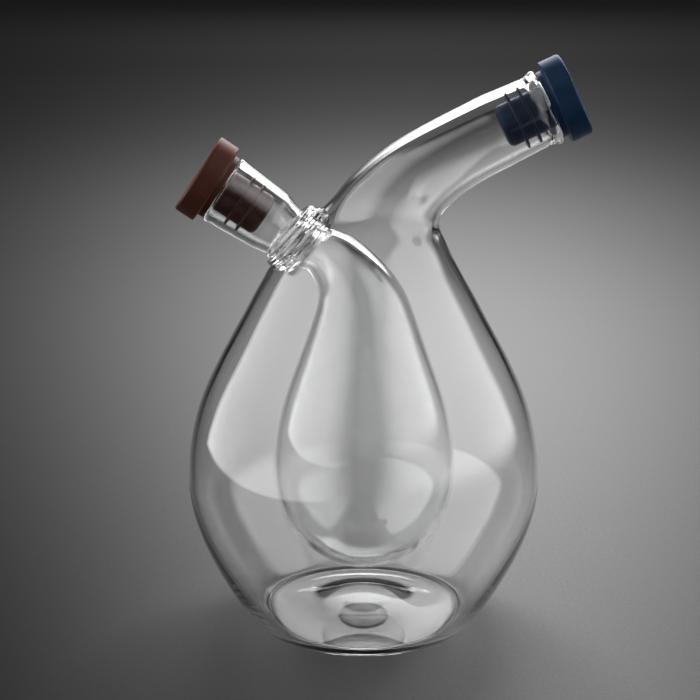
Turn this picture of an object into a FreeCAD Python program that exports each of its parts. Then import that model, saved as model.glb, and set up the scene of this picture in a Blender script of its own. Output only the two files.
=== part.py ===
"""Oil and vinegar dispenser of blown glass with two soft stoppers, standing empty.

One glass piece holds two chambers. The flask is the outer chamber: a gourd that stands on its foot
and leans over into a spout on the +X side. The vessel is the inner chamber: a drop that hangs in the
flask from its own neck, which leans to the -X side, passes the flask's shoulder at a fused seal and
ends in a mouth outside. Each mouth is closed by a stopper.

The origin is the centre of the foot on the table, +Z is up, and X-Z is the plane of symmetry.
Lengths are in millimetres and angles in degrees.
"""
import FreeCAD, Part
import math
import os

# Flask: a body of revolution up to its shoulder
FOOT_RADIUS = 30.8
FOOT_RIM = 4.0
HEEL_LEAN = 66.0
BELLY_RADIUS = 50.0
BELLY_HEIGHT = 41.8
SHOULDER_RADIUS = 29.9
SHOULDER_HEIGHT = 97.0
SHOULDER_LEAN = 28.0
FLASK_WALL = 1.5

# Flask floor: thick, with a low hill in its middle above a hollow underneath
FLOOR_THICKNESS = 1.9
FLOOR_RADIUS = 29.2
FLOOR_LEAN = 62.0
HILL_RADIUS = 18.5
HILL_HEIGHT = 2.4
PUNT_HEIGHT = 3.0

# Spout: how far out and above the flask's shoulder the middle of its mouth is, the rise of its axis,
# the thickness of its tube and lip, and how much wider its bore is at the root than at the lip
SPOUT_REACH = 50.2
SPOUT_RISE = 51.0
SPOUT_ANGLE = 25.5
SPOUT_TUBE_WALL = 1.65
SPOUT_LIP_WALL = 2.55
SPOUT_WIDENING = 0.65

# Vessel: a drop about its own upright axis, its shoulder a step below the flask's
VESSEL_OFFSET = 0.2
VESSEL_RADIUS = 25.6
VESSEL_BELLY_HEIGHT = 44.0
VESSEL_BOTTOM = 15.0
VESSEL_SHOULDER_RADIUS = 14.6
VESSEL_SHOULDER_STEP = 9.0
VESSEL_SHOULDER_LEAN = 18.0
VESSEL_WALL = 1.3

# Neck: the same sizes as the spout's, and its narrowest radius
NECK_REACH = 39.3
NECK_RISE = 28.4
NECK_ANGLE = 34.0
NECK_TUBE_WALL = 1.55
NECK_LIP_WALL = 1.85
NECK_WIDENING = -0.9
NECK_WAIST_RADIUS = 6.9

# Both mouths: one bore at the lip, so that the stoppers fit either
BORE_RADIUS = 8.25
MOUTH_LENGTH = 16.0
FLARE_LENGTH = 3.5
MOUTH_WALL = 1.6

# Fused seal a little inside where the neck's axis passes the flask's outside: beads of glass side by
# side, each with how far out from the neck's waist its middle lies and how thick it is
SEAL_INSET = 2.6
SEAL_TURN = 10.0
BEAD_PITCH = 1.9
BEAD_SIZES = ((1.0, 1.5), (1.7, 2.0), (1.8, 2.0), (1.2, 1.6))

# Stoppers, the same form for both mouths: the laps are outwards from the bore, the clearances inwards
CAP_LAP = 3.5
CAP_THICKNESS = 6.1
CAP_ROUNDING = 0.8
SEAT_LAP = 1.3
SEAT_THICKNESS = 1.7
PLUG_CLEARANCE = 2.25
PLUG_LENGTH = 14.2
PLUG_ROUNDING = 1.8
RIB_THICKNESS = 0.7
RIB_DEPTHS = (5.6, 9.1)
RIB_CLEARANCE = 0.05

# Sections between a shoulder and a mouth's root: the share of the way out, the share of the way
# up, the share of the shoulder's extra radius that is left, and the share of the whole turn.
# The first ones narrow the body, the middle ones fan round the crook and the last ones carry the tube
SPOUT_SECTIONS = (
    (0.00, 0.18, 0.76, 0.00),
    (0.05, 0.37, 0.50, 0.05),
    (0.11, 0.46, 0.28, 0.12),
    (0.24, 0.60, 0.14, 0.37),
    (0.50, 0.77, 0.04, 0.84),
)
NECK_SECTIONS = (
    (0.04, 0.27, 0.66, 0.10),
    (0.20, 0.52, 0.32, 0.35),
    (0.38, 0.67, 0.09, 0.68),
    (0.57, 0.74, 0.00, 0.95),
)
BODY_STEPS = 8
SECTION_STEP = 4.0
SEAM_TURN = 120.0

# Handles of the outlines' curves, as shares of their rise or radius, and roundness of small edges
LOWER_HANDLES = (0.08, 0.40)
UPPER_HANDLES = (0.42, 0.45)
ROUND_HANDLE = 0.55
HILL_HANDLE = 0.50
EDGE_ROUNDNESS = 0.45


# ---------- outlines ----------

def vector(radius, height):
    return FreeCAD.Vector(radius, 0, height)


def leaning(start, lean, length):
    """The point at a distance from start, along a line that leans outwards from upright."""
    angle = math.radians(lean)
    return (start[0] + length * math.sin(angle), start[1] + length * math.cos(angle))


def lower_outline(foot, lean, belly):
    """Curve from the foot's edge out and up to the widest height."""
    rise = belly[1] - foot[1]
    low, high = LOWER_HANDLES
    return (foot, leaning(foot, lean, low * rise), (belly[0], belly[1] - high * rise), belly)


def upper_outline(belly, shoulder, lean):
    """Curve from the widest height up to the shoulder."""
    rise = shoulder[1] - belly[1]
    low, high = UPPER_HANDLES
    below = (belly[0], belly[1] + low * rise)
    return (belly, below, leaning(shoulder, 180 - lean, high * rise), shoulder)


def round_outline(bottom, belly):
    """Curve from the lowest point, on the axis, out and up to the widest height."""
    radius, height = belly
    below = (radius, height - ROUND_HANDLE * (height - bottom))
    return ((0, bottom), (ROUND_HANDLE * radius, bottom), below, belly)


def hill_outline(radius, base, height):
    """Curve from the top of a low hill, on the axis, down to its edge."""
    middle = HILL_HANDLE * radius
    return ((0, base + height), (middle, base + height), (middle, base), (radius, base))


def curve(points):
    path = Part.BezierCurve()
    path.setPoles([vector(*point) for point in points])
    return path.toShape()


def line(start, end):
    return Part.LineSegment(vector(*start), vector(*end)).toShape()


def path(corners):
    """Edges of an open outline of (radius, height, rounding) corners."""
    points = [vector(radius, height) for radius, height, _ in corners]
    edges = []
    start = points[0]
    for before, here, after, corner in zip(points, points[1:], points[2:], corners[1:]):
        back = (before - here).normalize()
        ahead = (after - here).normalize()
        half = back.getAngle(ahead) / 2
        rounding = corner[2]
        reach = rounding / math.tan(half)
        edges.append(Part.LineSegment(start, here + back * reach).toShape())
        start = here + ahead * reach
        if rounding:
            middle = here + (back + ahead).normalize() * (rounding / math.sin(half) - rounding)
            edges.append(Part.Arc(here + back * reach, middle, start).toShape())
    edges.append(Part.LineSegment(start, points[-1]).toShape())
    return edges


def seam_turned(shape):
    """Turned about Z so that its seam lies to one side, where lofts round the crook stay whole."""
    return shape.rotated(FreeCAD.Vector(0, 0, 0), FreeCAD.Vector(0, 0, 1), SEAM_TURN)


def spun(edges):
    """The skin that an outline sweeps about Z."""
    outline = seam_turned(Part.Wire(edges))
    return outline.revolve(FreeCAD.Vector(0, 0, 0), FreeCAD.Vector(0, 0, 1), 360)


def solid(*skins):
    """The solid inside skins that meet edge to edge."""
    joined = Part.makeCompound([face for skin in skins for face in skin.Faces])
    joined.sewShape()
    return Part.makeSolid(joined.Shells[0])


# ---------- sections and lofts ----------

def along(points, share):
    """The point at a share of the way along a curve with two handles."""
    rest = 1.0 - share
    weights = (rest ** 3, 3 * share * rest ** 2, 3 * share ** 2 * rest, share ** 3)
    return [sum(weight * point[i] for weight, point in zip(weights, points)) for i in (0, 1)]


def body_sections(outline, offset):
    """Level sections (x, z, radius, tilt) of a body of revolution, from its belly to its shoulder."""
    rows = []
    for step in range(BODY_STEPS + 1):
        radius, height = along(outline, step / BODY_STEPS)
        rows.append((offset, height, radius, 0.0))
    return rows


def bend_sections(shares, start, end, narrowest):
    """Sections between a shoulder and a mouth's root, each worked out from its shares."""
    x0, z0, radius0, tilt0 = start
    x1, z1, _, tilt1 = end
    rows = []
    for out, up, extra, turn in shares:
        rows.append((
            x0 + out * (x1 - x0),
            z0 + up * (z1 - z0),
            narrowest + extra * (radius0 - narrowest),
            tilt0 + turn * (tilt1 - tilt0),
        ))
    return rows


def gap(a, b):
    """How far apart the middles of two sections are."""
    return math.hypot(b[0] - a[0], b[1] - a[1])


def smooth_slopes(values, places):
    """The slope at each place, from the parabola through it and its neighbours."""
    spans = [b - a for a, b in zip(places, places[1:])]
    chords = [(b - a) / span for a, b, span in zip(values, values[1:], spans)]
    inner = []
    for i in range(1, len(chords)):
        before, after = spans[i - 1], spans[i]
        inner.append((chords[i - 1] * after + chords[i] * before) / (before + after))
    return [1.5 * chords[0] - 0.5 * inner[0]] + inner + [1.5 * chords[-1] - 0.5 * inner[-1]]


def evened(rows):
    """The same smooth run of sections, cut at even steps."""
    places = [0.0]
    for before, after in zip(rows, rows[1:]):
        places.append(places[-1] + gap(before, after))
    columns = list(zip(*rows))
    slopes = [smooth_slopes(column, places) for column in columns]
    steps = round(places[-1] / SECTION_STEP)
    result = []
    i = 0
    for step in range(steps + 1):
        place = places[-1] * step / steps
        while i < len(rows) - 2 and place > places[i + 1]:
            i += 1
        span = places[i + 1] - places[i]
        t = (place - places[i]) / span
        step_up = t * t * (3 - 2 * t)
        weights = (1 - step_up, t * (1 - t) ** 2 * span, step_up, t * t * (t - 1) * span)
        row = []
        for column, slope in zip(columns, slopes):
            knots = (column[i], slope[i], column[i + 1], slope[i + 1])
            row.append(sum(weight * knot for weight, knot in zip(weights, knots)))
        result.append(tuple(row))
    return result


def thinned(rows, first_wall, last_wall):
    """The run of sections a wall's thickness further in, measured square to the surface."""
    result = []
    last = len(rows) - 1
    for i, (x, z, radius, tilt) in enumerate(rows):
        wall = first_wall + (last_wall - first_wall) * i / last
        if 0 < i < last:
            slope = (rows[i + 1][2] - rows[i - 1][2]) / gap(rows[i - 1], rows[i + 1])
            wall *= math.hypot(1.0, slope)
        result.append((x, z, radius - wall, tilt))
    return result


def loft(rows):
    """The skin through level or tilted circles."""
    wires = []
    for x, z, radius, tilt in rows:
        circle = Part.Circle(vector(0, 0), FreeCAD.Vector(0, 0, 1), radius).toShape()
        wires.append(Part.Wire([placed(seam_turned(circle), frame(x, z, tilt))]))
    return Part.makeLoft(wires, False, False)


def frame(x, z, tilt):
    """Placement of something made about Z: its origin at (x, z), its axis tilted towards +X."""
    return FreeCAD.Placement(vector(x, z), FreeCAD.Rotation(FreeCAD.Vector(0, 1, 0), tilt))


def placed(shape, placement):
    copy = shape.copy()
    copy.Placement = placement.multiply(copy.Placement)
    return copy


# ---------- mouths ----------

class Mouth:
    """The straight end of a tube: its lip's middle, its axis, its walls and its bore."""

    def __init__(self, x, rise, tilt, tube_wall, lip_wall, widening):
        self.frame = frame(x, SHOULDER_HEIGHT + rise, tilt)
        self.tilt = tilt
        self.tube_wall, self.lip_wall, self.widening = tube_wall, lip_wall, widening

    def at(self, height):
        """The point of the axis at a height above the lip."""
        return self.frame.multVec(FreeCAD.Vector(0, 0, height))

    def bore(self, depth):
        """The bore's radius at a depth below the lip."""
        return BORE_RADIUS + self.widening * depth / MOUTH_LENGTH

    def root(self):
        """The section at the end of the straight stretch, where the tube goes on."""
        middle = self.at(-MOUTH_LENGTH)
        return (middle.x, middle.z, self.bore(MOUTH_LENGTH) + MOUTH_WALL, self.tilt)

    def skin(self):
        """The mouth's outside, its rounded lip and its bore."""
        lip_radius = BORE_RADIUS + self.lip_wall
        rounding = EDGE_ROUNDNESS * self.lip_wall
        corners = (
            (self.root()[2], -MOUTH_LENGTH, 0),
            (BORE_RADIUS + self.tube_wall, -FLARE_LENGTH, FLARE_LENGTH),
            (lip_radius, -self.lip_wall / 2, 0),
            (lip_radius, 0, rounding),
            (BORE_RADIUS, 0, rounding),
            (self.bore(MOUTH_LENGTH), -MOUTH_LENGTH, 0),
        )
        return placed(spun(path(corners)), self.frame)


SPOUT = Mouth(SPOUT_REACH, SPOUT_RISE, 90 - SPOUT_ANGLE, SPOUT_TUBE_WALL, SPOUT_LIP_WALL, SPOUT_WIDENING)
NECK = Mouth(-NECK_REACH, NECK_RISE, NECK_ANGLE - 90, NECK_TUBE_WALL, NECK_LIP_WALL, NECK_WIDENING)


# ---------- glass ----------

def flask_sections():
    belly = (BELLY_RADIUS, BELLY_HEIGHT)
    shoulder = (SHOULDER_RADIUS, SHOULDER_HEIGHT)
    body = body_sections(upper_outline(belly, shoulder, SHOULDER_LEAN), 0)
    root = SPOUT.root()
    return evened(body + bend_sections(SPOUT_SECTIONS, body[-1], root, root[2]) + [root])


def flask():
    """The outer chamber as one wall: outside, lip, bore and inside."""
    rows = flask_sections()
    heel = lower_outline((FOOT_RADIUS, 0), HEEL_LEAN, (BELLY_RADIUS, BELLY_HEIGHT))
    punt = hill_outline(FOOT_RADIUS - FOOT_RIM, 0, PUNT_HEIGHT)
    base = spun([curve(punt), line(punt[3], heel[0]), curve(heel)])

    inner_belly = (BELLY_RADIUS - FLASK_WALL, BELLY_HEIGHT)
    inner_heel = lower_outline((FLOOR_RADIUS, FLOOR_THICKNESS), FLOOR_LEAN, inner_belly)
    hill = hill_outline(HILL_RADIUS, FLOOR_THICKNESS, HILL_HEIGHT)
    floor = spun([curve(hill), line(hill[3], inner_heel[0]), curve(inner_heel)])
    inside = loft(thinned(rows, FLASK_WALL, MOUTH_WALL))
    return solid(base, loft(rows), SPOUT.skin(), inside, floor)


def vessel_sections():
    belly = (VESSEL_RADIUS, VESSEL_BELLY_HEIGHT)
    shoulder = (VESSEL_SHOULDER_RADIUS, SHOULDER_HEIGHT - VESSEL_SHOULDER_STEP)
    body = body_sections(upper_outline(belly, shoulder, VESSEL_SHOULDER_LEAN), VESSEL_OFFSET)
    root = NECK.root()
    return evened(body + bend_sections(NECK_SECTIONS, body[-1], root, NECK_WAIST_RADIUS) + [root])


def drop(wall, rows):
    """The skin of the inner chamber up to its neck's root, a wall's thickness inside its outside."""
    lower = round_outline(VESSEL_BOTTOM + wall, (VESSEL_RADIUS - wall, VESSEL_BELLY_HEIGHT))
    bowl = placed(spun([curve(lower)]), frame(VESSEL_OFFSET, 0, 0))
    return Part.makeCompound([bowl, loft(rows)])


def vessel():
    """The inner chamber as one wall: outside, lip, bore and inside."""
    rows = vessel_sections()
    inner_rows = thinned(rows, VESSEL_WALL, MOUTH_WALL)
    return solid(drop(0, rows), NECK.skin(), drop(VESSEL_WALL, inner_rows))


def vessel_core():
    """The inner chamber filled to the middle of its wall, which opens the flask's shoulder for it."""
    rows = thinned(vessel_sections(), VESSEL_WALL / 2, MOUTH_WALL / 2)
    x, z, radius, tilt = rows[-1]
    lid = placed(spun([line((0, 0), (radius, 0))]), frame(x, z, tilt))
    return solid(drop(VESSEL_WALL / 2, rows), lid)


def seal_beads():
    """Rings of glass round the neck where its axis passes the flask's outside."""
    inwards = Part.makeLine(NECK.at(0), NECK.at(-NECK_REACH))
    crossings = [vertex.Point for vertex in loft(flask_sections()).section(inwards).Vertexes]
    depth = min(NECK.at(0).distanceToPoint(point) for point in crossings) + SEAL_INSET
    centre = NECK.at(-depth)
    seat = frame(centre.x, centre.z, NECK.tilt + SEAL_TURN)
    first = -BEAD_PITCH * (len(BEAD_SIZES) - 1) / 2
    beads = []
    for i, (outwards, thickness) in enumerate(BEAD_SIZES):
        middle = FreeCAD.Vector(0, 0, first + i * BEAD_PITCH)
        beads.append(placed(Part.makeTorus(NECK_WAIST_RADIUS + outwards, thickness, middle), seat))
    return beads


def glass():
    """Both chambers and the beads as one solid, with no air shut in between the beads."""
    joined = flask().cut(vessel_core()).fuse([vessel()] + seal_beads())
    return Part.makeSolid(joined.Solids[0].OuterShell)


# ---------- stoppers ----------

def stopper(mouth):
    """A soft stopper in its mouth: cap, seat on the lip, and plug with thin sealing ribs."""
    cap_radius = BORE_RADIUS + CAP_LAP
    seat_radius = BORE_RADIUS + SEAT_LAP
    plug_radius = BORE_RADIUS - PLUG_CLEARANCE
    top = SEAT_THICKNESS + CAP_THICKNESS
    rounding = EDGE_ROUNDNESS * RIB_THICKNESS
    corners = [
        (0, top, 0),
        (cap_radius, top, CAP_ROUNDING),
        (cap_radius, SEAT_THICKNESS, CAP_ROUNDING / 2),
        (seat_radius, SEAT_THICKNESS, 0),
        (seat_radius, 0, 0),
        (plug_radius, 0, 0),
    ]
    for depth in RIB_DEPTHS:
        rib_radius = min(BORE_RADIUS, mouth.bore(depth + RIB_THICKNESS)) - RIB_CLEARANCE
        corners += [
            (plug_radius, -depth, 0),
            (rib_radius, -depth, rounding),
            (rib_radius, -depth - RIB_THICKNESS, rounding),
            (plug_radius, -depth - RIB_THICKNESS, 0),
        ]
    corners += [(plug_radius, -PLUG_LENGTH, PLUG_ROUNDING), (0, -PLUG_LENGTH, 0)]
    return placed(solid(spun(path(corners))), mouth.frame)


def main():
    os.makedirs("parts", exist_ok=True)
    pieces = {
        "glass_flask": glass(),
        "spout_stopper": stopper(SPOUT),
        "neck_stopper": stopper(NECK),
    }
    for name, shape in pieces.items():
        print(name, len(shape.Solids), shape.isValid(), round(shape.Volume))
        shape.exportStep(f"parts/{name}.step")


if __name__ == "__main__":
    main()
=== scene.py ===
"""Looks of the oil and vinegar dispenser: blown glass with two chambers, and two soft stoppers.

Sizes are in millimetres and angles in degrees; meshes are written in metres, in the frame of the
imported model. A surface of the glass is a run of rings: each ring is (x, z, radius, tilt), the middle
and radius of a circle whose axis is tilted from upright towards +X. Y is 0 in the middle.
"""
import math

import bpy
from mathutils import Matrix, Vector, noise


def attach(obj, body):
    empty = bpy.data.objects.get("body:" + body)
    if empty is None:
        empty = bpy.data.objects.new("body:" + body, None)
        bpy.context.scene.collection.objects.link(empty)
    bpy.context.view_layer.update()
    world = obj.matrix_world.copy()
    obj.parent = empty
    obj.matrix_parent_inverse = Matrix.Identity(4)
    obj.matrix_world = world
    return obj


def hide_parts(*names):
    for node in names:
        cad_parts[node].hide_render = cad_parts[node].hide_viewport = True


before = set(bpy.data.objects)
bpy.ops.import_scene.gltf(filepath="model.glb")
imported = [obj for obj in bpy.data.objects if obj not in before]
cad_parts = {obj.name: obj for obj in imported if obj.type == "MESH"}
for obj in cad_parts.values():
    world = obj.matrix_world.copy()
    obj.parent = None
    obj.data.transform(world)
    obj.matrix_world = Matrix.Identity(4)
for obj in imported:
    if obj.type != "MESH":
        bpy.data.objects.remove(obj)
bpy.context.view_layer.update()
MM = 0.001

# ---------- sizes of the glass and the stoppers, the same as in the CAD model ----------

FOOT_RADIUS = 30.8
FOOT_RIM = 4.0
HEEL_LEAN = 66.0
BELLY_RADIUS = 50.0
BELLY_HEIGHT = 41.8
SHOULDER_RADIUS = 29.9
SHOULDER_HEIGHT = 97.0
SHOULDER_LEAN = 28.0
FLASK_WALL = 1.5

FLOOR_THICKNESS = 1.9
FLOOR_RADIUS = 29.2
FLOOR_LEAN = 62.0
HILL_RADIUS = 18.5
HILL_HEIGHT = 2.4
PUNT_HEIGHT = 3.0

SPOUT_REACH = 50.2
SPOUT_RISE = 51.0
SPOUT_ANGLE = 25.5
SPOUT_TUBE_WALL = 1.65
SPOUT_LIP_WALL = 2.55
SPOUT_WIDENING = 0.65

VESSEL_OFFSET = 0.2
VESSEL_RADIUS = 25.6
VESSEL_BELLY_HEIGHT = 44.0
VESSEL_BOTTOM = 15.0
VESSEL_SHOULDER_RADIUS = 14.6
VESSEL_SHOULDER_STEP = 9.0
VESSEL_SHOULDER_LEAN = 18.0
VESSEL_WALL = 1.3

NECK_REACH = 39.3
NECK_RISE = 28.4
NECK_ANGLE = 34.0
NECK_TUBE_WALL = 1.55
NECK_LIP_WALL = 1.85
NECK_WIDENING = -0.9
NECK_WAIST_RADIUS = 6.9

BORE_RADIUS = 8.25
MOUTH_LENGTH = 16.0
FLARE_LENGTH = 3.5
LIP_SIDE_ROUNDING = 0.3
MOUTH_WALL = 1.6

SEAL_DEPTH = 25.6
SEAL_TURN = 10.0
BEAD_PITCH = 1.9
BEAD_SIZES = ((1.0, 1.5), (1.7, 2.0), (1.8, 2.0), (1.2, 1.6))

CAP_LAP = 3.5
CAP_THICKNESS = 6.1
CAP_ROUNDING = 0.8
SEAT_LAP = 1.3
SEAT_THICKNESS = 1.7
SEAT_ROUNDING = 0.2
SEAT_CORNER_ROUNDING = 0.3
PLUG_CLEARANCE = 2.25
PLUG_LENGTH = 14.2
PLUG_ROUNDING = 1.8
RIB_THICKNESS = 0.7
RIB_DEPTHS = (5.6, 9.1)
RIB_CLEARANCE = 0.05
RIB_CORNER_ROUNDING = 0.15

# Shares of the way from the body's last section to the tube's root: sideways, up, of the extra radius that
# is left, and of the turn.
SPOUT_SECTIONS = (
    (0.00, 0.18, 0.76, 0.00),
    (0.05, 0.37, 0.50, 0.05),
    (0.11, 0.46, 0.28, 0.12),
    (0.24, 0.60, 0.14, 0.37),
    (0.50, 0.77, 0.04, 0.84),
)
NECK_SECTIONS = (
    (0.04, 0.27, 0.66, 0.10),
    (0.20, 0.52, 0.32, 0.35),
    (0.38, 0.67, 0.09, 0.68),
    (0.57, 0.74, 0.00, 0.95),
)
# How far the curves' handles reach, as shares of their height or radius.
LOWER_HANDLES = (0.08, 0.40)
UPPER_HANDLES = (0.42, 0.45)
ROUND_HANDLE = 0.55
HILL_HANDLE = 0.50
EDGE_ROUNDNESS = 0.45

# ---------- fine shape, in the visible model only ----------

CROOK_EASE = 3.2
GROOVE_WIDTH = 1.4
GROOVE_DEPTH = 0.5
GROOVE_EDGE_ROUNDING = 0.6
GROOVE_ROUNDING = 0.35
FLASK_WAVINESS = 0.05
VESSEL_WAVINESS = 0.04
SLOW_WAVE = 26.0
QUICK_WAVE = 9.0
QUICK_SHARE = 0.4
BEAD_SIZE_CHANGE = 0.08
BEAD_SHIFT = 0.20
BEAD_NOISE_SCALE = 1.3
BEAD_SEED_STEP = 7.3
BEAD_RIDGE = 0.05
BEAD_RIDGES = 8
BEAD_RIDGE_WANDER = 3

# ---------- how finely the meshes are cut ----------

CURVE_SAMPLES = 400
BODY_STEPS = 8
RING_STEP = 1.2
LIP_STEP = 0.5
FOOT_STEP = 0.8
GROOVE_STEP = 0.3
STOPPER_STEP = 0.25
PUNT_STEPS = 24
HEEL_STEPS = 40
HILL_STEPS = 20
DROP_STEPS = 34
FLASK_COUNT = 160
CORE_COUNT = 112
VESSEL_COUNT = 120
STOPPER_COUNT = 144
BEAD_AROUND = 112
BEAD_ACROSS = 40
TINY = 1e-6

# ---------- materials ----------

GLASS_COLOUR = (0.982, 0.985, 0.984, 1)
GLASS_IOR = 1.47
SHADOW_FACE_ON = 0.85
SHADOW_EDGE_LOSS = 0.45

BLUE = ((0.012, 0.042, 0.110), (0.018, 0.060, 0.150))
BROWN = ((0.130, 0.040, 0.026), (0.180, 0.058, 0.038))
RUBBER_CLOUD_SCALE = 180.0
RUBBER_CLOUD_RANGE = (0.35, 0.68)
RUBBER_GRAIN_SCALE = 3500.0
RUBBER_GRAIN_STRENGTH = 0.08
RUBBER_GRAIN_HEIGHT = 0.0001
RUBBER_ROUGHNESS = (0.36, 0.48)
RUBBER_SPECULAR = 0.22

# ---------- studio, in metres ----------

FLOOR_SIZE = 12.0
FLOOR_GRAIN_SCALE = 900.0
FLOOR_GRAIN_RANGE = 0.30
FLOOR_ROUGHNESS = 0.8
# The pool of light painted on the floor: its middle line, its width on both sides of its waist, and its greys
# at places along Y, painted darker towards the front and a little darker under the lamp. Outside it the floor
# is dark, and painted lighter again far away.
PAINTED_POOL_MIDDLE = 0.04
PAINTED_POOL_MIDDLE_DRIFT = 0.03
PAINTED_POOL_WAIST = -0.1
PAINTED_POOL_WIDTH = 0.055
PAINTED_POOL_SPREAD = 0.145
PAINTED_POOL_GREYS = ((-1.2, 0.03), (-0.4, 0.20), (0.1, 0.36), (0.6, 0.26), (1.1, 0.325), (2.0, 0.17), (3.8, 0.0))
DARK_AND_PAINTED_FAR_REACH = (0.6, 1.6)
DARK_AND_PAINTED_FAR_SHADES = (0.02, 0.045)

# Brightness of the room on matt surfaces, in mirrored images and where it is seen.
FILL_LEVEL = 0.20
ROOM_MIRRORED_LEVEL = 0.06
ROOM_SEEN_LEVEL = 0.010

BACK_AIM = (0, 0.12, 0)
LAMP_PLACE = (0.05, 0.50, 0.60)
LAMP_SIZE = (0.50, 0.30)
LAMP_POWER = 5.0
CARD_LENGTH = 0.90
TOP_CARD_PLACE = (0.05, 0.58, 0.47)
TOP_CARD_HEIGHT = 0.62
TOP_CARD_LEVEL = 3.6
TOP_CARD_SOFT = ((0.1, 0.45), (0.1, 0.40))
SIDE_CARD_OUT = 0.275
SIDE_CARD_FORWARD = -0.161
SIDE_CARD_FOOT = 0.005
SIDE_CARD_FACING = (0.943, 0.331)
LEFT_CARD_HEIGHT = 0.75
LEFT_CARD_LEVEL = 2.7
LEFT_CARD_SOFT = ((0.01, 0.50), (0.01, 0.15))
RIGHT_CARD_HEIGHT = 0.55
RIGHT_CARD_LEVEL = 2.6
RIGHT_CARD_SOFT = ((0.50, 0.12), (0.14, 0.25))

CAMERA_PLACE = (-0.0039, -0.458, 0.197)
CAMERA_DOWNWARDS = 14.4
CAMERA_LENS = 86.2
CAMERA_SENSOR = 36.0

MOST_BOUNCES = 32
MOST_MIRRORED_BOUNCES = 16


# ---------- rings ----------

def along(points, share):
    """The point at a share of the way along a curve with two handles."""
    rest = 1.0 - share
    weights = (rest ** 3, 3 * share * rest ** 2, 3 * share ** 2 * rest, share ** 3)
    return tuple(sum(weight * point[i] for weight, point in zip(weights, points)) for i in (0, 1))


def leaning(start, lean, length):
    """The point at a length from the start, in a direction that leans from upright."""
    angle = math.radians(lean)
    return (start[0] + length * math.sin(angle), start[1] + length * math.cos(angle))


def sampled(points, steps):
    """Evenly spread points of a curve with two handles."""
    fine = [along(points, i / CURVE_SAMPLES) for i in range(CURVE_SAMPLES + 1)]
    return spread(fine, steps)


def spread(points, steps):
    """The same open run of points, cut again at even lengths."""
    places = [0.0]
    for a, b in zip(points, points[1:]):
        places.append(places[-1] + math.dist(a, b))
    result = []
    i = 0
    for step in range(steps + 1):
        place = places[-1] * step / steps
        while i < len(points) - 2 and place > places[i + 1]:
            i += 1
        share = (place - places[i]) / max(places[i + 1] - places[i], 1e-9)
        result.append(tuple(a + (b - a) * share for a, b in zip(points[i], points[i + 1])))
    return result


def lower_outline(foot, lean, belly):
    rise = belly[1] - foot[1]
    low, high = LOWER_HANDLES
    return (foot, leaning(foot, lean, low * rise), (belly[0], belly[1] - high * rise), belly)


def upper_outline(belly, shoulder, lean):
    rise = shoulder[1] - belly[1]
    low, high = UPPER_HANDLES
    below = (belly[0], belly[1] + low * rise)
    return (belly, below, leaning(shoulder, 180 - lean, high * rise), shoulder)


def round_outline(bottom, belly):
    radius, height = belly
    below = (radius, height - ROUND_HANDLE * (height - bottom))
    return ((0, bottom), (ROUND_HANDLE * radius, bottom), below, belly)


def hill_outline(radius, base, height):
    middle = HILL_HANDLE * radius
    return ((0, base + height), (middle, base + height), (middle, base), (radius, base))


def body_sections(outline, offset):
    rows = []
    for step in range(BODY_STEPS + 1):
        radius, height = along(outline, step / BODY_STEPS)
        rows.append((offset, height, radius, 0.0))
    return rows


def bend_sections(shares, start, end, narrowest):
    x0, z0, radius0, tilt0 = start
    x1, z1, _, tilt1 = end
    rows = []
    for out, up, extra, turn in shares:
        rows.append((
            x0 + out * (x1 - x0),
            z0 + up * (z1 - z0),
            narrowest + extra * (radius0 - narrowest),
            tilt0 + turn * (tilt1 - tilt0),
        ))
    return rows


def gap(a, b):
    return math.hypot(b[0] - a[0], b[1] - a[1])


def smooth_slopes(values, places):
    """The slope at each place, from the parabola through it and its neighbours."""
    spans = [b - a for a, b in zip(places, places[1:])]
    chords = [(b - a) / span for a, b, span in zip(values, values[1:], spans)]
    inner = []
    for i in range(1, len(chords)):
        before, after = spans[i - 1], spans[i]
        inner.append((chords[i - 1] * after + chords[i] * before) / (before + after))
    return [1.5 * chords[0] - 0.5 * inner[0]] + inner + [1.5 * chords[-1] - 0.5 * inner[-1]]


def evened(rows):
    """The same smooth run of sections, cut at even steps."""
    places = [0.0]
    for before, after in zip(rows, rows[1:]):
        places.append(places[-1] + gap(before, after))
    columns = list(zip(*rows))
    slopes = [smooth_slopes(column, places) for column in columns]
    steps = round(places[-1] / RING_STEP)
    result = []
    i = 0
    for step in range(steps + 1):
        place = places[-1] * step / steps
        while i < len(rows) - 2 and place > places[i + 1]:
            i += 1
        span = places[i + 1] - places[i]
        t = (place - places[i]) / span
        step_up = t * t * (3 - 2 * t)
        weights = (1 - step_up, t * (1 - t) ** 2 * span, step_up, t * t * (t - 1) * span)
        row = []
        for column, slope in zip(columns, slopes):
            knots = (column[i], slope[i], column[i + 1], slope[i + 1])
            row.append(sum(weight * knot for weight, knot in zip(weights, knots)))
        result.append(tuple(row))
    return result


def eased(rows):
    """The same run with its right side smoothed, so that the inside of the bend has no crease."""
    sides = []
    for x, z, radius, tilt in rows:
        angle = math.radians(tilt)
        across = Vector((math.cos(angle), -math.sin(angle))) * radius
        sides.append((Vector((x, z)) - across, Vector((x, z)) + across))
    places = [0.0]
    for before, after in zip(sides, sides[1:]):
        places.append(places[-1] + (after[1] - before[1]).length)
    result = []
    for (left, _), place in zip(sides, places):
        reach = max(min(CROOK_EASE, place / 3, (places[-1] - place) / 3), 0.01)
        total, weight = Vector((0, 0)), 0.0
        for i, (_, right) in enumerate(sides):
            span = places[min(i + 1, len(places) - 1)] - places[max(i - 1, 0)]
            share = span * math.exp(-0.5 * ((places[i] - place) / reach) ** 2)
            total += right * share
            weight += share
        across = (total / weight - left) / 2
        middle = left + across
        tilt = math.degrees(math.atan2(-across.y, across.x))
        result.append((middle.x, middle.y, across.length, tilt))
    return result


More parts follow.
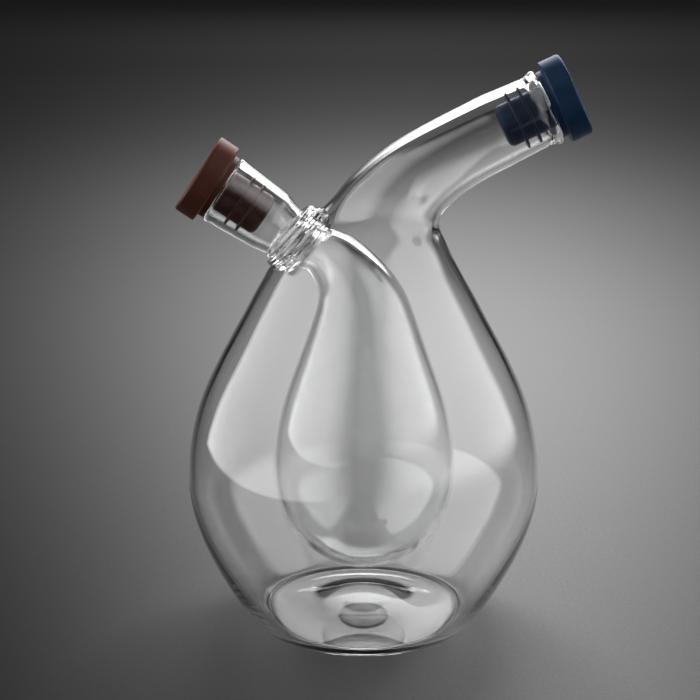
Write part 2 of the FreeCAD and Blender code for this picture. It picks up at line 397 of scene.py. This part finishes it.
def thinned(rows, first_wall, last_wall):
    """The run of sections a wall's thickness further in, measured square to the surface."""
    result = []
    last = len(rows) - 1
    for i, (x, z, radius, tilt) in enumerate(rows):
        wall = first_wall + (last_wall - first_wall) * i / last
        if 0 < i < last:
            slope = (rows[i + 1][2] - rows[i - 1][2]) / gap(rows[i - 1], rows[i + 1])
            wall *= math.hypot(1.0, slope)
        result.append((x, z, radius - wall, tilt))
    return result


def level(points, offset=0.0):
    """Rings of a body of revolution from its (radius, height) outline."""
    return [(offset, height, radius, 0.0) for radius, height in points]


def rounded(corners, step):
    """Points of an open outline of (radius, height, rounding) corners, at about that spacing."""
    points = [Vector(corner[:2]) for corner in corners]
    result = [tuple(points[0])]
    for before, here, after, corner in zip(points, points[1:], points[2:], corners[1:]):
        back = (before - here).normalized()
        ahead = (after - here).normalized()
        rounding = corner[2]
        if not rounding:
            result.append(tuple(here))
            continue
        half = back.angle(ahead) / 2
        centre = here + (back + ahead).normalized() * rounding / math.sin(half)
        start = here + back * rounding / math.tan(half) - centre
        end = here + ahead * rounding / math.tan(half) - centre
        sweep = math.pi - 2 * half
        count = max(2, math.ceil(sweep * rounding / step))
        for i in range(count + 1):
            share = i / count
            a = math.sin((1 - share) * sweep) / math.sin(sweep)
            b = math.sin(share * sweep) / math.sin(sweep)
            result.append(tuple(centre + start * a + end * b))
    result.append(tuple(points[-1]))
    dense = [result[0]]
    for a, b in zip(result, result[1:]):
        parts = max(1, math.ceil(math.dist(a, b) / step))
        for i in range(1, parts + 1):
            dense.append(tuple(p + (q - p) * i / parts for p, q in zip(a, b)))
    return dense


class Mouth:
    """The straight end of a tube: its lip's middle, its axis, its walls and its bore."""

    def __init__(self, x, rise, tilt, tube_wall, lip_wall, widening):
        self.x, self.z, self.tilt = x, SHOULDER_HEIGHT + rise, tilt
        self.tube_wall, self.lip_wall, self.widening = tube_wall, lip_wall, widening

    def at(self, height):
        """The point of the axis at a height above the lip."""
        return leaning((self.x, self.z), self.tilt, height)

    def bore(self, depth):
        """The bore's radius at a depth below the lip."""
        return BORE_RADIUS + self.widening * depth / MOUTH_LENGTH

    def root(self):
        """The section at the end of the straight stretch, where the tube goes on."""
        x, z = self.at(-MOUTH_LENGTH)
        return (x, z, self.bore(MOUTH_LENGTH) + MOUTH_WALL, self.tilt)

    def rings(self):
        """Outside from root to lip, round the lip, and down the bore."""
        lip_radius = BORE_RADIUS + self.lip_wall
        rounding = EDGE_ROUNDNESS * self.lip_wall
        corners = (
            (self.root()[2], -MOUTH_LENGTH, 0),
            (BORE_RADIUS + self.tube_wall, -FLARE_LENGTH, FLARE_LENGTH),
            (lip_radius, -self.lip_wall / 2, LIP_SIDE_ROUNDING),
            (lip_radius, 0, rounding),
            (BORE_RADIUS, 0, rounding),
            (self.bore(MOUTH_LENGTH), -MOUTH_LENGTH, 0),
        )
        rings = []
        for radius, height in rounded(corners, LIP_STEP)[1:-1]:
            x, z = self.at(height)
            rings.append((x, z, radius, self.tilt))
        return rings


SPOUT = Mouth(SPOUT_REACH, SPOUT_RISE, 90 - SPOUT_ANGLE, SPOUT_TUBE_WALL, SPOUT_LIP_WALL, SPOUT_WIDENING)
NECK = Mouth(-NECK_REACH, NECK_RISE, NECK_ANGLE - 90, NECK_TUBE_WALL, NECK_LIP_WALL, NECK_WIDENING)


# ---------- meshes ----------

def new_piece(name, vertices, faces):
    mesh = bpy.data.meshes.new(name)
    mesh.from_pydata(vertices, [], faces)
    mesh.validate()
    piece = bpy.data.objects.new(name, mesh)
    bpy.context.scene.collection.objects.link(piece)
    return piece


def ring_points(ring, count, wave=None):
    x, z, radius, tilt = ring
    angle = math.radians(tilt)
    across = Vector((math.cos(angle), 0, -math.sin(angle)))
    points = []
    for i in range(count):
        turn = 2 * math.pi * i / count
        out = across * math.cos(turn) + Vector((0, math.sin(turn), 0))
        point = Vector((x, 0, z)) + out * radius
        if wave:
            point += out * wave(point)
        points.append(point * MM)
    return points


def skin_object(name, rings, count, wave=None):
    """A closed mesh through rings, from one end on its axis to the other."""
    vertices = []
    faces = []
    starts = []
    for ring in rings:
        starts.append(len(vertices))
        if ring[2] < TINY:
            vertices.append(Vector((ring[0], 0, ring[1])) * MM)
        else:
            vertices.extend(ring_points(ring, count, wave))
    starts.append(len(vertices))
    for k in range(len(rings) - 1):
        a, b = starts[k], starts[k + 1]
        single_a = starts[k + 1] - a == 1
        single_b = starts[k + 2] - b == 1
        for i in range(count):
            j = (i + 1) % count
            if single_a:
                faces.append((a, b + j, b + i))
            elif single_b:
                faces.append((a + i, a + j, b))
            else:
                faces.append((a + i, a + j, b + j, b + i))
    return new_piece(name, vertices, faces)


def bead_object(centre, tilt, ring_radius, thickness, seed):
    """A ring of glass, a little uneven in thickness and place, with fine drawn ridges round it."""
    turn = Matrix.Rotation(math.radians(tilt), 3, "Y")
    vertices = []
    faces = []
    for i in range(BEAD_AROUND):
        angle = 2 * math.pi * i / BEAD_AROUND
        out = Vector((math.cos(angle), math.sin(angle), 0))
        spot = out * BEAD_NOISE_SCALE + Vector((0, 0, seed * BEAD_SEED_STEP))
        size = thickness * (1 + BEAD_SIZE_CHANGE * noise.noise(spot))
        shift = BEAD_SHIFT * noise.noise(spot + Vector((9, 0, 0)))
        for j in range(BEAD_ACROSS):
            bend = 2 * math.pi * j / BEAD_ACROSS
            ridge = math.cos(BEAD_RIDGES * bend + BEAD_RIDGE_WANDER * shift + seed)
            ridged = size * (1 + BEAD_RIDGE * ridge)
            local = out * (ring_radius + ridged * math.cos(bend))
            local.z = ridged * math.sin(bend) + shift
            vertices.append((centre + turn @ local) * MM)
            k = (i + 1) % BEAD_AROUND * BEAD_ACROSS
            n = (j + 1) % BEAD_ACROSS
            faces.append((i * BEAD_ACROSS + j, k + j, k + n, i * BEAD_ACROSS + n))
    return new_piece("bead", vertices, faces)


def combine(base, other, operation):
    """Joins or cuts two closed pieces; the second is used up."""
    modifier = base.modifiers.new("combine", "BOOLEAN")
    modifier.object = other
    modifier.operation = operation
    modifier.solver = "MANIFOLD"
    bpy.context.view_layer.update()
    evaluated = base.evaluated_get(bpy.context.evaluated_depsgraph_get())
    mesh = bpy.data.meshes.new_from_object(evaluated)
    base.modifiers.clear()
    base.data = mesh
    bpy.data.objects.remove(other)


def flask_rows():
    belly = (BELLY_RADIUS, BELLY_HEIGHT)
    shoulder = (SHOULDER_RADIUS, SHOULDER_HEIGHT)
    body = body_sections(upper_outline(belly, shoulder, SHOULDER_LEAN), 0)
    root = SPOUT.root()
    return eased(evened(body + bend_sections(SPOUT_SECTIONS, body[-1], root, root[2]) + [root]))


def flask_rings():
    belly = (BELLY_RADIUS, BELLY_HEIGHT)
    inner_belly = (BELLY_RADIUS - FLASK_WALL, BELLY_HEIGHT)
    rim = FOOT_RADIUS - FOOT_RIM
    punt = sampled(hill_outline(rim, 0, PUNT_HEIGHT), PUNT_STEPS)
    foot = rounded(((rim, 0, 0), (FOOT_RADIUS, 0, 0)), FOOT_STEP)
    heel = sampled(lower_outline((FOOT_RADIUS, 0), HEEL_LEAN, belly), HEEL_STEPS)
    inner_heel = sampled(lower_outline((FLOOR_RADIUS, FLOOR_THICKNESS), FLOOR_LEAN, inner_belly), HEEL_STEPS)
    flat = rounded((
        (HILL_RADIUS, FLOOR_THICKNESS, 0),
        (FLOOR_RADIUS - GROOVE_WIDTH, FLOOR_THICKNESS, GROOVE_EDGE_ROUNDING),
        (FLOOR_RADIUS - GROOVE_WIDTH / 2, FLOOR_THICKNESS - GROOVE_DEPTH, GROOVE_ROUNDING),
        (FLOOR_RADIUS, FLOOR_THICKNESS, 0),
    ), GROOVE_STEP)
    hill = sampled(hill_outline(HILL_RADIUS, FLOOR_THICKNESS, HILL_HEIGHT), HILL_STEPS)
    rows = flask_rows()
    inside = thinned(rows, FLASK_WALL, MOUTH_WALL)
    outer = level(punt + foot[1:] + heel[1:-1]) + rows
    inner = level(hill + flat[1:] + inner_heel[1:-1]) + inside
    return outer + SPOUT.rings() + inner[::-1]


def vessel_rows():
    belly = (VESSEL_RADIUS, VESSEL_BELLY_HEIGHT)
    shoulder = (VESSEL_SHOULDER_RADIUS, SHOULDER_HEIGHT - VESSEL_SHOULDER_STEP)
    body = body_sections(upper_outline(belly, shoulder, VESSEL_SHOULDER_LEAN), VESSEL_OFFSET)
    root = NECK.root()
    return evened(body + bend_sections(NECK_SECTIONS, body[-1], root, NECK_WAIST_RADIUS) + [root])


def drop_rings(wall, rows):
    """Rings of the inner chamber up to its neck's root, a wall's thickness inside its outside."""
    lower = round_outline(VESSEL_BOTTOM + wall, (VESSEL_RADIUS - wall, VESSEL_BELLY_HEIGHT))
    return level(sampled(lower, DROP_STEPS)[:-1], VESSEL_OFFSET) + rows


def vessel_rings():
    rows = vessel_rows()
    inside = thinned(rows, VESSEL_WALL, MOUTH_WALL)
    return drop_rings(0, rows) + NECK.rings() + drop_rings(VESSEL_WALL, inside)[::-1]


def core_rings():
    """The inner chamber filled to the middle of its wall."""
    rows = thinned(vessel_rows(), VESSEL_WALL / 2, MOUTH_WALL / 2)
    x, z, _, tilt = rows[-1]
    return drop_rings(VESSEL_WALL / 2, rows) + [(x, z, 0.0, tilt)]


def blown(size):
    """Slow unevenness of hand-blown glass, in millimetres at a point, never outwards."""
    def unevenness(point):
        wave = noise.noise(point / SLOW_WAVE) + QUICK_SHARE * noise.noise(point / QUICK_WAVE)
        return size * (wave - 1.0)
    return unevenness


def make_glass():
    """The flask, opened where the inner chamber passes it, joined to that chamber and to the seal's beads."""
    glass = skin_object("blown_glass", flask_rings(), FLASK_COUNT, blown(FLASK_WAVINESS))
    combine(glass, skin_object("core", core_rings(), CORE_COUNT, blown(VESSEL_WAVINESS)), "DIFFERENCE")
    combine(glass, skin_object("vessel", vessel_rings(), VESSEL_COUNT, blown(VESSEL_WAVINESS)), "UNION")
    centre = NECK.at(-SEAL_DEPTH)
    tilt = NECK_ANGLE - 90 + SEAL_TURN
    first = -BEAD_PITCH * (len(BEAD_SIZES) - 1) / 2
    for i, (outwards, thickness) in enumerate(BEAD_SIZES):
        x, z = leaning(centre, tilt, first + i * BEAD_PITCH)
        ring_radius = NECK_WAIST_RADIUS + outwards
        combine(glass, bead_object(Vector((x, 0, z)), tilt, ring_radius, thickness, i), "UNION")
    glass.data.shade_smooth()
    return glass


# ---------- stoppers ----------

def stopper_outline(mouth):
    cap_radius = BORE_RADIUS + CAP_LAP
    seat_radius = BORE_RADIUS + SEAT_LAP
    plug_radius = BORE_RADIUS - PLUG_CLEARANCE
    top = SEAT_THICKNESS + CAP_THICKNESS
    rounding = EDGE_ROUNDNESS * RIB_THICKNESS
    corners = [
        (0, top, 0),
        (cap_radius, top, CAP_ROUNDING),
        (cap_radius, SEAT_THICKNESS, CAP_ROUNDING / 2),
        (seat_radius, SEAT_THICKNESS, SEAT_ROUNDING),
        (seat_radius, 0, SEAT_ROUNDING),
        (plug_radius, 0, SEAT_CORNER_ROUNDING),
    ]
    for depth in RIB_DEPTHS:
        rib_radius = min(BORE_RADIUS, mouth.bore(depth + RIB_THICKNESS)) - RIB_CLEARANCE
        corners += [
            (plug_radius, -depth, RIB_CORNER_ROUNDING),
            (rib_radius, -depth, rounding),
            (rib_radius, -depth - RIB_THICKNESS, rounding),
            (plug_radius, -depth - RIB_THICKNESS, RIB_CORNER_ROUNDING),
        ]
    corners += [(plug_radius, -PLUG_LENGTH, PLUG_ROUNDING), (0, -PLUG_LENGTH, 0)]
    return rounded(corners, STOPPER_STEP)


def make_stopper(name, mouth, material):
    rings = [(*mouth.at(height), radius, mouth.tilt) for radius, height in stopper_outline(mouth)]
    piece = skin_object(name, rings[::-1], STOPPER_COUNT)
    piece.data.shade_smooth()
    piece.data.materials.append(material)
    return piece


# ---------- materials ----------

def node_material(name):
    material = bpy.data.materials.new(name)
    material.use_nodes = True
    nodes = material.node_tree.nodes
    return material, nodes, material.node_tree.links, nodes["Principled BSDF"]


def math_node(nodes, links, operation, *values):
    """Adds a Math node fed by sockets or plain numbers, and gives its output."""
    node = nodes.new("ShaderNodeMath")
    node.operation = operation
    for place, value in zip(node.inputs, values):
        if isinstance(value, (int, float)):
            place.default_value = value
        else:
            links.new(value, place)
    return node.outputs["Value"]


def glass_material():
    """Clear glass with a trace of grey, whose shadow stays light."""
    material, nodes, links, shader = node_material("clear_glass")
    shader.inputs["Base Color"].default_value = GLASS_COLOUR
    shader.inputs["Roughness"].default_value = 0.0
    shader.inputs["IOR"].default_value = GLASS_IOR
    shader.inputs["Transmission Weight"].default_value = 1.0
    clear = nodes.new("ShaderNodeBsdfTransparent")
    facing = nodes.new("ShaderNodeLayerWeight").outputs["Facing"]
    shade = math_node(nodes, links, "POWER", facing, 2.0)
    shade = math_node(nodes, links, "MULTIPLY_ADD", shade, -SHADOW_EDGE_LOSS, SHADOW_FACE_ON)
    links.new(shade, clear.inputs["Color"])
    light_path = nodes.new("ShaderNodeLightPath")
    mix = nodes.new("ShaderNodeMixShader")
    links.new(light_path.outputs["Is Shadow Ray"], mix.inputs["Fac"])
    links.new(shader.outputs["BSDF"], mix.inputs[1])
    links.new(clear.outputs["BSDF"], mix.inputs[2])
    links.new(mix.outputs["Shader"], nodes["Material Output"].inputs["Surface"])
    return material


def rubber_material(name, low, high):
    """Soft moulded rubber: cloudy colour, fine grain and a faint sheen."""
    material, nodes, links, shader = node_material(name)
    place = nodes.new("ShaderNodeTexCoord")
    cloud = nodes.new("ShaderNodeTexNoise")
    cloud.inputs["Scale"].default_value = RUBBER_CLOUD_SCALE
    cloud.inputs["Detail"].default_value = 4.0
    ramp = nodes.new("ShaderNodeValToRGB")
    for element, where, colour in zip(ramp.color_ramp.elements, RUBBER_CLOUD_RANGE, (low, high)):
        element.position = where
        element.color = (*colour, 1)
    grain = nodes.new("ShaderNodeTexNoise")
    grain.inputs["Scale"].default_value = RUBBER_GRAIN_SCALE
    grain.inputs["Detail"].default_value = 2.0
    bump = nodes.new("ShaderNodeBump")
    bump.inputs["Strength"].default_value = RUBBER_GRAIN_STRENGTH
    bump.inputs["Distance"].default_value = RUBBER_GRAIN_HEIGHT
    rough = nodes.new("ShaderNodeMapRange")
    rough.inputs["To Min"].default_value, rough.inputs["To Max"].default_value = RUBBER_ROUGHNESS
    shader.inputs["Specular IOR Level"].default_value = RUBBER_SPECULAR
    links.new(place.outputs["Object"], cloud.inputs["Vector"])
    links.new(place.outputs["Object"], grain.inputs["Vector"])
    links.new(cloud.outputs["Fac"], ramp.inputs["Fac"])
    links.new(ramp.outputs["Color"], shader.inputs["Base Color"])
    links.new(cloud.outputs["Fac"], rough.inputs["Value"])
    links.new(rough.outputs["Result"], shader.inputs["Roughness"])
    links.new(grain.outputs["Fac"], bump.inputs["Height"])
    links.new(bump.outputs["Normal"], shader.inputs["Normal"])
    return material


def floor_material():
    """Matt floor with a fine grain: dark and painted lighter far away, with a painted pool of light that
    widens behind the object.
    """
    material, nodes, links, shader = node_material("studio_floor")
    place = nodes.new("ShaderNodeTexCoord").outputs["Object"]
    parts = nodes.new("ShaderNodeSeparateXYZ")
    links.new(place, parts.inputs["Vector"])
    x, y = parts.outputs["X"], parts.outputs["Y"]
    # Painted pool of light: a bell across its middle line, widening away from its waist.
    middle = math_node(nodes, links, "MULTIPLY_ADD", y, PAINTED_POOL_MIDDLE_DRIFT, PAINTED_POOL_MIDDLE)
    aside = math_node(nodes, links, "SUBTRACT", x, middle)
    beyond = math_node(nodes, links, "ABSOLUTE", math_node(nodes, links, "SUBTRACT", y, PAINTED_POOL_WAIST))
    width = math_node(nodes, links, "MULTIPLY_ADD", beyond, PAINTED_POOL_SPREAD, PAINTED_POOL_WIDTH)
    share = math_node(nodes, links, "DIVIDE", aside, width)
    fall = math_node(nodes, links, "MULTIPLY", math_node(nodes, links, "MULTIPLY", share, share), -0.5)
    across = math_node(nodes, links, "POWER", math.e, fall)

    # The painted pool's greys along Y: painted shade towards the front, and a little under the lamp.
    front, back = PAINTED_POOL_GREYS[0][0], PAINTED_POOL_GREYS[-1][0]
    way = nodes.new("ShaderNodeMapRange")
    way.inputs["From Min"].default_value, way.inputs["From Max"].default_value = front, back
    links.new(y, way.inputs["Value"])
    ramp = nodes.new("ShaderNodeValToRGB")
    ramp.color_ramp.interpolation = "EASE"
    while len(ramp.color_ramp.elements) < len(PAINTED_POOL_GREYS):
        ramp.color_ramp.elements.new(0.5)
    for element, (where, grey) in zip(ramp.color_ramp.elements, PAINTED_POOL_GREYS):
        element.position = (where - front) / (back - front)
        element.color = (grey, grey, grey, 1)
    links.new(way.outputs["Result"], ramp.inputs["Fac"])
    painted_pool = math_node(nodes, links, "MULTIPLY", across, ramp.outputs["Color"])

    grain = nodes.new("ShaderNodeTexNoise")
    grain.inputs["Scale"].default_value = FLOOR_GRAIN_SCALE
    grain.inputs["Detail"].default_value = 3.0
    links.new(place, grain.inputs["Vector"])
    least = 1 - FLOOR_GRAIN_RANGE / 2
    speckle = math_node(nodes, links, "MULTIPLY_ADD", grain.outputs["Fac"], FLOOR_GRAIN_RANGE, least)
    painted_pool = math_node(nodes, links, "MULTIPLY", painted_pool, speckle)

    # Dark floor, painted lighter far from the object.
    away = nodes.new("ShaderNodeVectorMath")
    away.operation = "LENGTH"
    links.new(place, away.inputs[0])
    dark_and_painted_far = nodes.new("ShaderNodeMapRange")
    dark_and_painted_far.inputs["From Min"].default_value, dark_and_painted_far.inputs["From Max"].default_value = DARK_AND_PAINTED_FAR_REACH
    dark_and_painted_far.inputs["To Min"].default_value, dark_and_painted_far.inputs["To Max"].default_value = DARK_AND_PAINTED_FAR_SHADES
    links.new(away.outputs["Value"], dark_and_painted_far.inputs["Value"])
    links.new(math_node(nodes, links, "ADD", painted_pool, dark_and_painted_far.outputs["Result"]), shader.inputs["Base Color"])
    shader.inputs["Roughness"].default_value = FLOOR_ROUGHNESS
    shader.inputs["Specular IOR Level"].default_value = 0.0
    return material


# ---------- studio ----------

def make_floor():
    bpy.ops.mesh.primitive_plane_add(size=FLOOR_SIZE)
    floor = bpy.context.object
    floor.name = "studio_floor"
    floor.data.materials.append(floor_material())


def make_world():
    """Even fill light on matt surfaces, a dim room where it is mirrored, a dark one where it is looked at."""
    world = bpy.data.worlds.new("studio")
    bpy.context.scene.world = world
    world.use_nodes = True
    nodes = world.node_tree.nodes
    links = world.node_tree.links
    light_path = nodes.new("ShaderNodeLightPath").outputs
    level = math_node(nodes, links, "MULTIPLY_ADD", light_path["Is Diffuse Ray"], FILL_LEVEL, ROOM_SEEN_LEVEL)
    level = math_node(nodes, links, "MULTIPLY_ADD", light_path["Is Glossy Ray"], ROOM_MIRRORED_LEVEL, level)
    links.new(level, nodes["Background"].inputs["Strength"])
    nodes["Background"].inputs["Color"].default_value = (1, 1, 1, 1)


def card_material(level, soft, through):
    """Light from a card's front that only shows where it is mirrored, and through glass if through is set.

    soft is the share of the card's length, and then of its height, over which the light fades at each end.
    """
    material, nodes, links, shader = node_material("studio_card")
    nodes.remove(shader)
    light_path = nodes.new("ShaderNodeLightPath").outputs
    seen = light_path["Is Glossy Ray"]
    if not through:
        mirrored = math_node(nodes, links, "GREATER_THAN", light_path["Glossy Depth"], 0.5)
        seen = math_node(nodes, links, "MULTIPLY", seen, mirrored)
    behind = nodes.new("ShaderNodeNewGeometry").outputs["Backfacing"]
    seen = math_node(nodes, links, "GREATER_THAN", math_node(nodes, links, "SUBTRACT", seen, behind), 0.5)
    parts = nodes.new("ShaderNodeSeparateXYZ")
    links.new(nodes.new("ShaderNodeTexCoord").outputs["Generated"], parts.inputs["Vector"])
    for axis, ends in zip("XY", soft):
        for edge, inwards in zip((0.0, 1.0), (ends[0], 1.0 - ends[1])):
            fade = nodes.new("ShaderNodeMapRange")
            fade.interpolation_type = "SMOOTHSTEP"
            fade.inputs["From Min"].default_value = edge
            fade.inputs["From Max"].default_value = inwards
            links.new(parts.outputs[axis], fade.inputs["Value"])
            level = math_node(nodes, links, "MULTIPLY", level, fade.outputs["Result"])
    light = nodes.new("ShaderNodeEmission")
    clear = nodes.new("ShaderNodeBsdfTransparent")
    mix = nodes.new("ShaderNodeMixShader")
    links.new(level, light.inputs["Strength"])
    links.new(seen, mix.inputs["Fac"])
    links.new(clear.outputs["BSDF"], mix.inputs[1])
    links.new(light.outputs["Emission"], mix.inputs[2])
    links.new(mix.outputs["Shader"], nodes["Material Output"].inputs["Surface"])
    material.cycles.emission_sampling = "NONE"
    return material


def aim_at(piece, place, aim):
    """Puts a lamp or card at a place with its front towards a point."""
    piece.location = place
    piece.rotation_euler = (Vector(aim) - Vector(place)).to_track_quat("-Z", "Y").to_euler()


def make_card(name, place, aim, height, material):
    """A staged rectangle, its front towards a point."""
    half, up = CARD_LENGTH / 2, height / 2
    corners = [(-half, -up, 0), (-half, up, 0), (half, up, 0), (half, -up, 0)]
    piece = new_piece(name, corners, [(0, 1, 2, 3)])
    piece.data.materials.append(material)
    aim_at(piece, place, aim)


def make_lights():
    """A soft lamp over the back, a card behind it for mirroring, and a long card each side."""
    left = card_material(LEFT_CARD_LEVEL, LEFT_CARD_SOFT, False)
    right = card_material(RIGHT_CARD_LEVEL, RIGHT_CARD_SOFT, False)
    sides = (("left_card", -1, LEFT_CARD_HEIGHT, left), ("right_card", 1, RIGHT_CARD_HEIGHT, right))
    inwards, backwards = SIDE_CARD_FACING
    for name, side, height, material in sides:
        place = Vector((side * SIDE_CARD_OUT, SIDE_CARD_FORWARD, SIDE_CARD_FOOT + height / 2))
        make_card(name, place, place + Vector((-side * inwards, backwards, 0)), height, material)
    top = card_material(TOP_CARD_LEVEL, TOP_CARD_SOFT, True)
    make_card("top_card", TOP_CARD_PLACE, BACK_AIM, TOP_CARD_HEIGHT, top)
    lamp = bpy.data.objects.new("top_lamp", bpy.data.lights.new("top_lamp", "AREA"))
    lamp.data.shape = "RECTANGLE"
    lamp.data.size, lamp.data.size_y = LAMP_SIZE
    lamp.data.energy = LAMP_POWER
    lamp.visible_camera = False
    lamp.visible_glossy = False
    lamp.visible_transmission = False
    aim_at(lamp, LAMP_PLACE, BACK_AIM)
    bpy.context.scene.collection.objects.link(lamp)


def make_camera():
    camera = bpy.data.cameras.new("camera")
    camera.lens = CAMERA_LENS
    camera.sensor_width = CAMERA_SENSOR
    camera.clip_start = 0.01
    view = bpy.data.objects.new("camera", camera)
    view.location = CAMERA_PLACE
    view.rotation_euler = (math.radians(90 - CAMERA_DOWNWARDS), 0, 0)
    bpy.context.scene.collection.objects.link(view)
    bpy.context.scene.camera = view


# ---------- the dispenser ----------

glass = make_glass()
glass.data.materials.clear()
glass.data.materials.append(glass_material())
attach(glass, "root")
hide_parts("glass_flask")

stoppers = (("spout_stopper", SPOUT, "blue_rubber", BLUE), ("neck_stopper", NECK, "brown_rubber", BROWN))
for node, mouth, slot, colours in stoppers:
    piece = make_stopper(node + "_rubber", mouth, rubber_material(slot, *colours))
    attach(piece, "root")
    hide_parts(node)

make_floor()
make_world()
make_lights()
make_camera()
bpy.context.scene.view_settings.view_transform = "Standard"
# Light is turned many times inside the thick heel before it comes out.
bpy.context.scene.cycles.max_bounces = MOST_BOUNCES
bpy.context.scene.cycles.transmission_bounces = MOST_BOUNCES
bpy.context.scene.cycles.glossy_bounces = MOST_MIRRORED_BOUNCES
